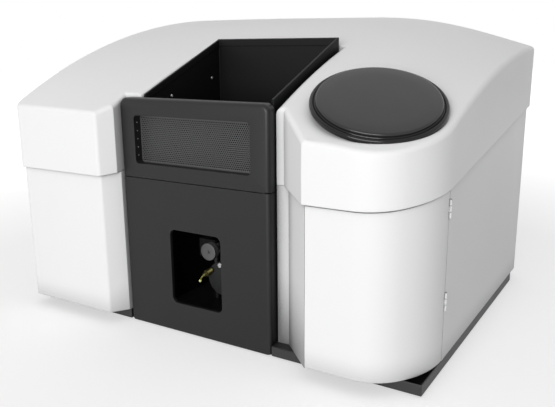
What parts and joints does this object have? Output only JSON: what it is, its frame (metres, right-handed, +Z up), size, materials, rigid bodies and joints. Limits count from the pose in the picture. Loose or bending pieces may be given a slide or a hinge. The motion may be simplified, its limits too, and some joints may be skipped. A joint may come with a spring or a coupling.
{
  "type": "atomic absorption spectrophotometer",
  "caption": "Bench flame spectrophotometer: two white towers round a black burner well, crowned cover, round lamp lid, lifting mesh flame shield, hinged lamp door, lamp turret inside.",
  "frame": {"origin": "on the bench under the middle of the instrument's box", "axes": "+X to the operator's right, +Y to the back of the instrument, +Z up"},
  "size_m": [0.73, 0.596, 0.5107],
  "materials": {
    "white_cover": "smooth satin white paint",
    "white_casing": "smooth satin white paint",
    "black_base": "satin black paint",
    "black_panel": "satin black paint",
    "black_well": "satin black heat-proof paint",
    "black_mesh": "satin black paint",
    "dark_lid": "dark grey moulded plastic with a soft sheen",
    "foot_rubber": "matt black rubber",
    "steel": "bright machined steel",
    "plated": "plain zinc-plated sheet",
    "titanium": "heat-dulled machined metal",
    "inert_plastic": "dark grey inert plastic",
    "knob_grey": "mid grey moulded plastic",
    "brass": "polished brass",
    "aluminium": "bare machined aluminium",
    "cast_black": "black anodised casting",
    "lamp_glass": "clear glass",
    "black_plastic": "black moulded plastic",
    "lens_glass": "clear polished silica",
    "mirror_face": "front-silvered mirror",
    "board_green": "green lacquered circuit board"
  },
  "bodies": {
    "chassis": {"base_tray": "black_base", "feet": "foot_rubber", "chassis_plate": "plated", "left_casing": "white_casing", "right_side_panel": "white_casing", "right_front_panel": "white_casing", "door_hinge_pins": "steel", "rear_panel": "white_casing", "connection_pan": "plated", "top_cover": "white_cover", "flame_box": "black_well", "wall_screws": "steel", "lower_front_panel": "black_panel", "shield_rails": "steel", "rail_blocks": "black_plastic", "guide_rods": "steel", "knob_bracket": "cast_black", "igniter": "steel", "turret_motor": "cast_black", "lamp_bench": "cast_black", "bench_posts": "aluminium", "fold_mirror": "mirror_face", "fold_mirror_mount": "cast_black", "lens_tubes": "cast_black", "beam_lenses": "lens_glass", "monochromator": "cast_black", "mono_posts": "aluminium", "wavelength_drive": "cast_black", "detector_housing": "cast_black", "power_supply": "plated", "gas_control_unit": "plated", "control_board": "board_green", "board_standoffs": "steel", "switch_frame": "black_plastic", "mains_inlet": "black_plastic", "gas_inlets": "brass", "signal_port": "plated", "fan_frame": "black_plastic"},
    "lid": {"lamp_lid": "dark_lid"},
    "door": {"lamp_door": "white_casing"},
    "shield": {"shield_frame": "black_panel", "shield_mesh": "black_mesh"},
    "knob": {"lift_knob": "knob_grey", "lift_pinion": "steel"},
    "carriage": {"burner_carriage": "cast_black", "spray_chamber": "inert_plastic", "chamber_cap": "inert_plastic", "nebuliser": "brass", "cap_stud": "steel", "drain_fitting": "inert_plastic"},
    "burner": {"burner_head": "titanium"},
    "turret": {"lamp_turret": "aluminium", "lamp_bases": "black_plastic", "hollow_cathode_lamps": "lamp_glass"},
    "grating": {"grating_table": "aluminium", "diffraction_grating": "mirror_face"},
    "rocker": {"power_switch": "black_plastic"},
    "fan": {"fan_rotor": "black_plastic"}
  },
  "joints": [
    {"name": "lid_lift", "type": "slide", "parent": "chassis", "child": "lid", "axis": [0.2236, -0.3951, 0.891], "range_m": [0, 0.08]},
    {"name": "door_swing", "type": "hinge", "parent": "chassis", "child": "door", "pos_m": [0.3612, -0.1774, 0.15], "axis": [0, 0, 1], "range_deg": [0, 100]},
    {"name": "shield_lift", "type": "slide", "parent": "chassis", "child": "shield", "axis": [0, 0, 1], "range_m": [0, 0.105]},
    {"name": "knob_turn", "type": "hinge", "parent": "chassis", "child": "knob", "pos_m": [-0.019, -0.208, 0.129], "axis": [0, -1, 0], "range_deg": [-107.5, 107.5]},
    {"name": "burner_lift", "type": "slide", "parent": "chassis", "child": "carriage", "axis": [0, 0, 1], "range_m": [-0.015, 0.015]},
    {"name": "burner_swivel", "type": "hinge", "parent": "carriage", "child": "burner", "pos_m": [-0.004, -0.145, 0.22], "axis": [0, 0, 1], "range_deg": [0, 90]},
    {"name": "turret_turn", "type": "hinge", "parent": "chassis", "child": "turret", "pos_m": [0.263, -0.203, 0.12], "axis": [0, 0, 1], "continuous": true},
    {"name": "grating_turn", "type": "hinge", "parent": "chassis", "child": "grating", "pos_m": [-0.29, -0.008, 0.21], "axis": [0, 0, 1], "range_deg": [0, 45]},
    {"name": "switch_rock", "type": "hinge", "parent": "chassis", "child": "rocker", "pos_m": [-0.038, 0.272, 0.078], "axis": [1, 0, 0], "range_deg": [-8, 8]},
    {"name": "fan_spin", "type": "hinge", "parent": "chassis", "child": "fan", "pos_m": [0.25, 0.282, 0.11], "axis": [0, 1, 0], "continuous": true}
  ],
  "couplings": [
    {"joint": "knob_turn", "follows": "burner_lift", "rad_per_m": 125}
  ]
}
